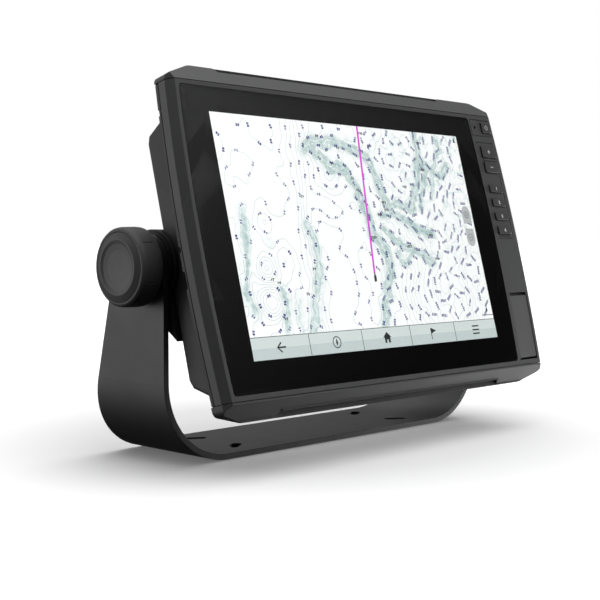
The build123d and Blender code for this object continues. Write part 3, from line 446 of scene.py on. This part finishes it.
# ------------------------------------------------------------------ chart picture
SCREEN_W_MM, SCREEN_H_MM = 261.1, 163.2
BAR_TOP_MM = 14.7
ICON_SIZE = 1.3                   # the soft keys' signs are drawn small and enlarged by this
GRID_MM = 1.05                    # pitch of the grid under contours and tint
CONTOUR_MM = 0.34
SOUNDING_MM = 2.2
LABEL_MM = 2.1
LABEL_COUNT = 26
SHELF_EDGE_MM = 132               # right of this the water is deep
INSHORE_MM = 80                   # left of this the depth numbers stand farther apart
INSHORE_GAP_MM, OFFSHORE_GAP_MM = 8.8, 7.4
WANDER_MM = 34                    # sizes of the broad swells, small ripples and gullies
RIPPLE_MM = 9
GULLY_MM = 16
COURSE_MM = 1.9
TAB_LEFT_MM, TAB_MIDDLE_MM, TAB_RIGHT_MM = 248.3, 253.3, 258.3
TABS_MM = ((91.5, 105.2, True), (73.4, 87.0, False))  # bottom, top, whether round at the top
LAYER = 0.015 * MM                # step between layers of the picture
INK = 0.008 * MM                  # thickness of a layer
CANYON_BEND_MM = 2.6
CANYON_TINT = 0.17                # per contour step, in the canyon itself
APRON_TINT = 0.040                # per contour step, in the wider water round it
CANYONS = [  # half width, depth in contour steps, and the centre line in chart millimetres
    (3.2, 4.5, [(82, 143), (90, 149), (100, 148), (106, 149), (113, 151), (120, 147), (130, 146),
                (140, 143), (147, 138), (151, 131), (154, 123), (157, 111), (160, 102)]),
    (3.4, 4.5, [(88, 146), (92, 141), (98, 137), (104, 131), (109, 129), (114, 131), (120, 129),
                (125, 122), (129, 115), (132, 107), (135, 97), (136, 87), (138, 80)]),
    (3.2, 4.5, [(136, 82), (143, 77), (148, 71), (150, 63), (148, 53), (142, 43), (136, 32),
                (132, 20), (130, 12)]),
    (2.6, 3.5, [(158, 108), (160, 101), (165, 103), (171, 107), (178, 104), (185, 104),
                (190, 103)]),
    (3.0, 3.0, [(150, 96), (162, 97), (174, 94), (184, 89), (196, 83), (206, 82)]),
    (3.2, 3.5, [(210, 166), (207, 152), (206, 140), (202, 130), (197, 120), (191, 108),
                (187, 102)]),
    (2.8, 3.0, [(207, 140), (213, 133), (208, 124), (203, 114), (198, 104)]),
    (2.8, 3.2, [(207, 140), (216, 137), (224, 132), (232, 130), (240, 137)]),
    (3.0, 3.5, [(150, 86), (160, 79), (170, 74), (181, 70), (192, 66), (199, 61)]),
    (2.6, 2.6, [(166, 72), (160, 66), (164, 60), (172, 63), (184, 69)]),
    (2.4, 2.2, [(232, 160), (236, 150), (228, 141), (219, 128), (213, 112)]),
    (4.5, 1.6, [(14, 99), (13, 86), (10, 70), (7, 55), (4, 44), (10, 30)]),
    (4.2, 2.2, [(71, 88), (76, 78), (75, 64), (72, 50), (68, 40), (63, 27), (57, 14)]),
    (4.0, 1.6, [(37, 45), (38, 33), (34, 20)]),
    (4.4, 1.2, [(50, 38), (48, 28), (49, 14)]),
    (4.0, 1.0, [(33, 76), (35, 75)]),
]
MOUNDS = [  # centre, radius and height in contour steps, in chart millimetres
    (26, 58, 9, 4.5), (26, 37, 12, -5.5), (45, 62, 10, -2.0), (30, 90, 9, 2.5), (46, 150, 14, -1.3),
    (20, 130, 22, 0.9), (95, 104, 12, -1.8), (100, 122, 14, 2.4), (168, 140, 20, 1.7),
    (186, 124, 12, -1.6), (205, 42, 14, 2.6), (222, 30, 16, -2.6), (243, 50, 14, 2.2),
    (236, 84, 14, -1.9), (176, 36, 12, 1.8), (246, 24, 12, 1.6),
]


def fractal(u, v, size, octaves):
    """Layered noise over arrays of chart points."""
    total = np.zeros(u.size)
    for octave in range(octaves):
        scale = 2 ** octave / size
        values = [noise.noise((x * scale, y * scale, 7.3 * (octave + 1)))
                  for x, y in zip(u.ravel(), v.ravel())]
        total += np.array(values) / 1.6 ** octave
    return total.reshape(u.shape)


def distance_to_line(u, v, line):
    """Shortest distance from chart points to a line of points."""
    best = np.full(u.shape, 1e9)
    for (u0, v0), (u1, v1) in zip(line, line[1:]):
        du, dv = u1 - u0, v1 - v0
        share = np.clip(((u - u0) * du + (v - v0) * dv) / (du * du + dv * dv), 0, 1)
        best = np.minimum(best, np.hypot(u - u0 - share * du, v - v0 - share * dv))
    return best


def rise(value, middle, width):
    """Smooth step from 0 to 1."""
    return 1 / (1 + np.exp((middle - value) / width))


def sea_floor():
    """Grid of chart points with their depth in contour steps and their tint."""
    across = np.linspace(0, SCREEN_W_MM, round(SCREEN_W_MM / GRID_MM) + 1)
    upward = np.linspace(0, SCREEN_H_MM, round(SCREEN_H_MM / GRID_MM) + 1)
    u, v = np.meshgrid(across, upward)
    rough_sea = rise(u, 150 + 0.25 * (80 - v), 14)
    wander = fractal(u, v, WANDER_MM, 3)
    ripple = fractal(u + 60, v, RIPPLE_MM, 3)
    depth = 0.012 * u + 1.1 * wander + rough_sea * 0.7 * ripple
    bank_edge = rise(u, 71 + 0.07 * (v - 80), 5.5)
    ledge = rise(u, 112, 9)
    upper_right = rise(u + 0.35 * v, 190, 16)
    lower_right = rise(u - 0.5 * v, 165, 18)
    depth += 6.5 * bank_edge - 3.0 * ledge
    depth += 7.0 * upper_right + 7.0 * lower_right
    for mu, mv, radius, height in MOUNDS:
        depth += height * np.exp(-((u - mu) ** 2 + (v - mv) ** 2) / radius ** 2)
    tint = np.zeros(u.shape)
    bent_u = u + CANYON_BEND_MM * ripple
    bent_v = v + CANYON_BEND_MM * fractal(u, v + 90, RIPPLE_MM, 3)
    for half_width, steps, line in CANYONS:
        away = distance_to_line(bent_u, bent_v, line) / half_width
        depth += steps * np.exp(-away ** 2)
        tint = np.maximum(tint, CANYON_TINT * steps * np.exp(-(away * 1.15) ** 2)
                          + APRON_TINT * steps * np.exp(-(away / 2.3) ** 2))
    # A web of fine gullies towards the upper right.
    web = np.exp(-(fractal(u + 200, v, GULLY_MM, 3) / 0.10) ** 2) * rise(u + 0.3 * v, 205, 12)
    tint = np.maximum(tint, 0.30 * web * rise(v, 66, 10))
    return u, v, depth, tint.clip(0, 1)


def contour_ribbons(flat, u, v, depth, width):
    """Adds a ribbon along every whole step of depth; returns (u, v, angle, step) along them."""
    slope_v, slope_u = np.gradient(depth, v[1, 0] - v[0, 0], u[0, 1] - u[0, 0])
    crossings, places, quads, marks = {}, [], [], []

    def cross(first, second, step):
        """Index of the pair of ribbon points where a grid edge crosses a step."""
        if (first, second, step) not in crossings:
            share = (step - depth[first]) / (depth[second] - depth[first])
            at = [a[first] + share * (a[second] - a[first]) for a in (u, v, slope_u, slope_v)]
            length = math.hypot(at[2], at[3]) or 1.0
            side = (at[2] / length * width / 2, at[3] / length * width / 2)
            crossings[first, second, step] = len(places)
            places.append((at[0] + side[0], at[1] + side[1]))
            places.append((at[0] - side[0], at[1] - side[1]))
            marks.append((at[0], at[1], math.atan2(at[2], -at[3]), step))
        return crossings[first, second, step]

    lowest = np.minimum(np.minimum(depth[:-1, :-1], depth[1:, :-1]),
                        np.minimum(depth[:-1, 1:], depth[1:, 1:]))
    highest = np.maximum(np.maximum(depth[:-1, :-1], depth[1:, :-1]),
                         np.maximum(depth[:-1, 1:], depth[1:, 1:]))
    for j, i in zip(*np.nonzero(np.floor(highest) > np.floor(lowest))):
        corners = ((j, i), (j, i + 1), (j + 1, i + 1), (j + 1, i))
        edges = [(corners[0], corners[1]), (corners[1], corners[2]),
                 (corners[3], corners[2]), (corners[0], corners[3])]
        for step in range(math.floor(lowest[j, i]) + 1, math.floor(highest[j, i]) + 1):
            cut = [cross(a, b, step) for a, b in edges if (depth[a] < step) != (depth[b] < step)]
            for a, b in zip(cut[::2], cut[1::2]):
                quads.append((a, a + 1, b + 1, b))
    flat.add(places, quads)
    return marks


def sounding(step, u):
    """Depth label of a contour step: two digits inshore and three or four far out."""
    if u < SHELF_EDGE_MM:
        return str(58 + 3 * max(0, step))
    return str(round(90 + 24 * max(0, step - 4) ** 1.55))


def scatter_soundings(marks):
    """Labels along the contours, closer together in the deep water on the right."""
    rng = random.Random(12)
    rng.shuffle(marks)
    chosen = []
    for u, v, angle, step in marks:
        gap = INSHORE_GAP_MM if u < INSHORE_MM else OFFSHORE_GAP_MM
        inside = 4 < u < SCREEN_W_MM - 5 and BAR_TOP_MM + 3 < v < SCREEN_H_MM - 3
        if inside and all(math.hypot(u - a, v - b) > gap for a, b, _, _ in chosen):
            chosen.append((u, v, angle, step))
    return chosen


def softkey_icons(flat, cell, v):
    """One plain sign in the middle of each cell: back, compass, home, marker and menu."""
    centre = [cell * (i + 0.5) for i in range(5)]
    u = centre[0]
    flat.strip([(u - 2.6, v), (u + 3.0, v)], 0.8)
    flat.strip([(u, v + 2.4), (u - 2.8, v), (u, v - 2.4)], 0.9)
    u = centre[1]
    flat.ring(u, v, 2.9, 0.55)
    flat.shape([(u, v + 2.2), (u + 0.8, v), (u, v - 2.2), (u - 0.8, v)])
    u = centre[2]
    flat.shape([(u - 3.4, v + 0.1), (u + 3.4, v + 0.1), (u, v + 3.2)])
    flat.rect(u - 2.3, v - 2.8, u - 0.7, v + 0.1)
    flat.rect(u + 0.7, v - 2.8, u + 2.3, v + 0.1)
    flat.rect(u - 0.7, v - 1.0, u + 0.7, v + 0.1)
    u = centre[3]
    flat.strip([(u - 1.8, v - 3.2), (u - 1.8, v + 3.2)], 0.6)
    flat.shape([(u - 1.5, v + 3.2), (u + 2.8, v + 1.6), (u - 1.5, v)])
    u = centre[4]
    for row in (-2.2, 0.0, 2.2):
        flat.rect(u - 3.2, v + row - 0.4, u + 3.2, v + row + 0.4)


def tab_outline(u0, u1, v0, v1, round_top):
    """Tab at the screen's edge with one rounded end."""
    radius = (u1 - u0) / 2
    middle, steps = (u0 + u1) / 2, 12
    turn = 1 if round_top else -1
    base = v1 - radius if round_top else v0 + radius
    arc = [(middle + radius * math.cos(math.pi * i / steps),
            base + turn * radius * math.sin(math.pi * i / steps)) for i in range(steps + 1)]
    foot = v0 if round_top else v1
    points = arc + [(u0, foot), (u1, foot)]
    return points if round_top else points[::-1]


def lit_panel(corner, front, back, u, v, tint):
    """The screen panel again, with a grid over its front that carries the tint."""
    rows, columns = u.shape
    mesh = bpy.data.meshes.new("lcd_panel_lit")
    grid = [HEAD @ Vector((corner[0] + a * MM, front, corner[1] + b * MM))
            for a, b in zip(u.ravel(), v.ravel())]
    firsts = [r * columns + c for r in range(rows - 1) for c in range(columns - 1)]
    cells = [(i, i + 1, i + columns + 1, i + columns) for i in firsts]
    edge = (list(range(columns))
            + [r * columns + columns - 1 for r in range(1, rows)]
            + [(rows - 1) * columns + c for c in range(columns - 2, -1, -1)]
            + [r * columns for r in range(rows - 2, 0, -1)])
    start = len(grid)
    for index in edge:
        grid.append(grid[index] + BACK * (back - front))
    count = len(edge)
    sides = [(edge[i], start + i, start + (i + 1) % count, edge[(i + 1) % count])
             for i in range(count)]
    rear = [start + i for i in range(count)][::-1]
    mesh.from_pydata(grid, [], cells + sides + [rear])
    attribute = mesh.attributes.new("tint", "FLOAT", "POINT")
    values = np.concatenate((tint.ravel(), np.zeros(count))).astype(np.float32)
    attribute.data.foreach_set("value", values)
    panel = attach(mesh, "lcd_panel_lit", chart_paper("chart_paper"), "head")
    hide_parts("lcd_panel")


def chart_layers(corner, lay, u, v, depth):
    """Contours, depth numbers and a few upright labels, then the course line and the boat."""
    lines, numbers, labels = Flat(corner), Flat(corner), Flat(corner)
    marks = contour_ribbons(lines, u, v, depth, CONTOUR_MM)
    for a, b, angle, step in scatter_soundings(marks):
        numbers.glyphs(sounding(step, a), a, b, SOUNDING_MM, angle)
    rng = random.Random(5)
    for a, b, _, step in rng.sample(marks, LABEL_COUNT):
        if BAR_TOP_MM + 4 < b < SCREEN_H_MM - 4 and 4 < a < SCREEN_W_MM - 6:
            labels.glyphs(sounding(step + 2, a), a, b, LABEL_MM)
    lay("chart_contours", lines, 1, lit("chart_line", (0.58, 0.68, 0.66)))
    lay("chart_soundings", numbers, 2, lit("chart_navy", (0.038, 0.032, 0.23)))
    lay("chart_labels", labels, 2, lit("chart_dark", (0.03, 0.03, 0.03)))

    course = Flat(corner)
    course.strip([(142.4, SCREEN_H_MM), (130.3, 53.5)], COURSE_MM)
    lay("course_line", course, 3, lit("chart_magenta", (0.78, 0.07, 0.76)))
    boat = Flat(corner)
    boat.shape([(128.9, 47.6), (131.3, 47.9), (131.7, 51.4), (130.4, 54.6), (129.0, 51.2)])
    lay("boat_mark", boat, 4, lit("chart_black", (0.008, 0.008, 0.010)))


def softkey_bar(corner, lay):
    """Bar of five soft keys, the scale bar above it and a small mark in the top right corner."""
    bar, shadow, signs, frames = Flat(corner), Flat(corner), Flat(corner), Flat(corner)
    bar.rect(0.0, BAR_TOP_MM / 2, SCREEN_W_MM, BAR_TOP_MM)
    shadow.rect(0.0, 0.0, SCREEN_W_MM, BAR_TOP_MM / 2)
    lay("softkey_bar_upper", bar, 4, lit("bar_pale", (0.72, 0.79, 0.77)))
    lay("softkey_bar_lower", shadow, 4, lit("bar_grey", (0.60, 0.68, 0.67)))
    cell = SCREEN_W_MM / 5
    frames.rect(0.0, BAR_TOP_MM - 0.25, SCREEN_W_MM, BAR_TOP_MM + 0.25)
    for i in range(1, 5):
        frames.rect(cell * i - 0.3, 0.0, cell * i + 0.3, BAR_TOP_MM - 0.25)
    # The scale bar with the tick at its left end.
    frames.rect(SCREEN_W_MM - 13.5, 17.7, SCREEN_W_MM, 18.3)
    frames.rect(SCREEN_W_MM - 13.8, 16.9, SCREEN_W_MM - 13.2, 19.1)
    lay("picture_frames", frames, 5, lit("frame_grey", (0.12, 0.14, 0.14)))
    icons = Flat(corner, ICON_SIZE)
    softkey_icons(icons, cell / ICON_SIZE, BAR_TOP_MM / 2 / ICON_SIZE)
    sign_black = lit("sign_black", (0.012, 0.014, 0.016))
    lay("softkey_icons", icons, 5, sign_black)
    signs.glyphs("3", SCREEN_W_MM - 7, 22.2, 3.2)
    signs.shape([(255.6, 157.6), (258.4, 157.6), (257.0, 161.8)])
    lay("picture_signs", signs, 5, sign_black)


def edge_tabs(corner, lay):
    """Two grey tabs near the screen's right edge, the upper one with a cross in its ring."""
    tabs, tab_signs = Flat(corner), Flat(corner)
    for low_v, high_v, round_top in TABS_MM:
        outline = tab_outline(TAB_LEFT_MM, TAB_RIGHT_MM, low_v, high_v, round_top)
        tabs.shape(outline)
        tab_signs.strip(outline, 0.25, True)
        centre_v = (low_v + high_v) / 2
        tab_signs.ring(TAB_MIDDLE_MM, centre_v, 2.6, 0.6)
        tab_signs.strip([(250.7, centre_v), (255.9, centre_v)], 0.5)
    tab_signs.strip([(TAB_MIDDLE_MM, 95.6), (TAB_MIDDLE_MM, 101.0)], 0.5)
    lay("edge_tabs", tabs, 4, lit("tab_grey", (0.54, 0.56, 0.56)))
    lay("edge_tab_signs", tab_signs, 5, lit("tab_dark", (0.20, 0.21, 0.22)))


def screen_picture():
    """Lit picture on the screen panel, in thin layers one above the other."""
    low, high = head_box("lcd_panel")
    middle = (low + high) / 2
    corner = (middle.x - SCREEN_W_MM * MM / 2, middle.z - SCREEN_H_MM * MM / 2)
    u, v, depth, tint = sea_floor()
    lit_panel(corner, low.y, high.y, u, v, tint)

    def lay(name, flat, layer, material):
        flat.piece(name, low.y - layer * LAYER - INK, INK, material)

    chart_layers(corner, lay, u, v, depth)
    softkey_bar(corner, lay)
    edge_tabs(corner, lay)


# ------------------------------------------------------------------ marks on the keys
MARK_HEIGHT = 0.05 * MM
NUMBER_MM = 3.0


def key_marks():
    """Pale printed sign on each key."""
    pale = surface("mark_print", (0.85, 0.86, 0.87), (0.35, 0.5), 0.0006, 0.000002, tone=0.05)
    for body, nodes in frame["record"]["behaviour"]["bodies"].items():
        if not nodes[0].startswith("key_"):
            continue
        low, high = head_box(nodes[0])
        flat = Flat(((low.x + high.x) / 2, (low.z + high.z) / 2))
        if nodes[0] == "key_power":
            flat.ring(0.0, -0.1, 1.7, 0.6, 125.0, 415.0)
            flat.rect(-0.3, 0.2, 0.3, 2.3)
        elif nodes[0].startswith("key_zoom"):
            flat.rect(-1.7, -0.36, 1.7, 0.36)
            if nodes[0] == "key_zoom_in":
                flat.rect(-0.36, 0.36, 0.36, 1.7)
                flat.rect(-0.36, -1.7, 0.36, -0.36)
        else:
            flat.glyphs(nodes[0][-1], 0.0, 0.0, NUMBER_MM)
        flat.piece(nodes[0] + "_mark", low.y - MARK_HEIGHT, MARK_HEIGHT, pale, body, "key_plastic")


# ------------------------------------------------------------------ studio
CAMERA_AIM = Vector((0.0, 0.0, 0.1025))  # on the upright line through the middle of the base
CAMERA_TURN = math.radians(-45.7)       # round from straight in front, towards the user's left
CAMERA_RISE = math.radians(2.9)
CAMERA_DISTANCE = 0.91
LENS = 71.3
SENSOR = 36.0                           # millimetres wide, like the lens
LIGHTS = [  # azimuth from +X towards +Y, elevation, sharpness, strength
    (-75, 55, 9.0, 1.9),
    (-62, 35, 20.0, 0.6),
    (-5, 65, 16.0, 1.3),
    (40, 84, 5.0, 2.4),
    (130, 3, 10.0, 2.0),
    (150, 20, 4.0, 0.3),
    (60, 12, 14.0, 0.16),
    (80, 42, 4.0, 0.30),
    (-4, -12, 30.0, 18.0),
]
DIMMEST = 0.01                # light from where no lobe reaches
FLOOR_HALF = 30.0
FLOOR_DROP = 0.05 * MM        # keeps the floor clear of the base
FLOOR_GLOW = (0.10, 0.60)     # emission near the object and far from it
FLOOR_FADE = (0.15, 0.42)     # distances from the object between which it grows


def studio_light():
    """Wide soft lobes of light that fade into each other. The camera sees plain white."""
    world = bpy.data.worlds.new("studio")
    world.use_nodes = True
    bpy.context.scene.world = world
    nodes, links = world.node_tree.nodes, world.node_tree.links
    nodes.clear()

    def add(kind, *inputs, **settings):
        node = nodes.new("ShaderNode" + kind)
        for name, value in settings.items():
            setattr(node, name, value)
        for socket, value in zip(node.inputs, inputs):
            if isinstance(value, bpy.types.NodeSocket):
                links.new(value, socket)
            elif value is not None:
                socket.default_value = value
        return node

    direction = add("TexCoord").outputs["Generated"]
    total = DIMMEST
    for azimuth, elevation, sharpness, strength in LIGHTS:
        a, e = math.radians(azimuth), math.radians(elevation)
        aim = (math.cos(a) * math.cos(e), math.sin(a) * math.cos(e), math.sin(e))
        facing = add("VectorMath", direction, aim, operation="DOT_PRODUCT").outputs["Value"]
        facing = add("Math", facing, 0.0, operation="MAXIMUM").outputs["Value"]
        lobe = add("Math", facing, sharpness, operation="POWER").outputs["Value"]
        lobe = add("Math", lobe, strength, operation="MULTIPLY").outputs["Value"]
        total = add("Math", total, lobe, operation="ADD").outputs["Value"]
    studio = add("Background", None, total)
    white = add("Background", WHITE, 1.0)
    seen = add("LightPath").outputs["Is Camera Ray"]
    mixed = add("MixShader", seen, studio.outputs[0], white.outputs[0])
    links.new(mixed.outputs[0], add("OutputWorld").inputs["Surface"])


def pale_floor():
    """White floor that takes the object's shadow but throws no light on it. It shines more
    the farther away it is, so that no horizon shows."""
    mesh = bpy.data.meshes.new("floor")
    signs = ((-1, -1), (1, -1), (1, 1), (-1, 1))
    corners = [(x * FLOOR_HALF, y * FLOOR_HALF, -FLOOR_DROP) for x, y in signs]
    mesh.from_pydata(corners, [], [(0, 1, 2, 3)])
    tree = Tree("floor_paint")
    patches = tree.noise(0.4, 3.0)
    away = tree.add("VectorMath", {0: tree.place()}, operation="LENGTH")["Value"]
    tree.put(tree.shader, {
        "Base Color": tree.mix(patches, (0.77, 0.77, 0.77, 1), (0.78, 0.78, 0.78, 1)),
        "Roughness": tree.between(patches, 0.85, 0.95),
        "Specular IOR Level": 0.0,
        "Emission Color": WHITE,
        "Emission Strength": tree.between(away, *FLOOR_GLOW, *FLOOR_FADE),
    })
    mesh.materials.append(tree.material)
    floor = bpy.data.objects.new("floor", mesh)
    bpy.context.scene.collection.objects.link(floor)
    floor.visible_diffuse = False
    floor.visible_glossy = False
    floor.visible_transmission = False
    floor.visible_shadow = False


def camera():
    """Camera that looks at the aim from a distance, turned and raised about it."""
    data = bpy.data.cameras.new("camera")
    data.lens = LENS
    data.sensor_width = SENSOR
    data.clip_start = 0.05
    eye = bpy.data.objects.new("camera", data)
    level = CAMERA_DISTANCE * math.cos(CAMERA_RISE)
    height = CAMERA_DISTANCE * math.sin(CAMERA_RISE)
    offset = Vector((level * math.sin(CAMERA_TURN), -level * math.cos(CAMERA_TURN), height))
    eye.location = CAMERA_AIM + offset
    eye.rotation_euler = (math.pi / 2 - CAMERA_RISE, 0.0, CAMERA_TURN)
    bpy.context.scene.collection.objects.link(eye)
    bpy.context.scene.camera = eye


camera()
studio_light()
pale_floor()
bpy.context.scene.view_settings.view_transform = "Standard"
dress_nodes()
screen_picture()
key_marks()
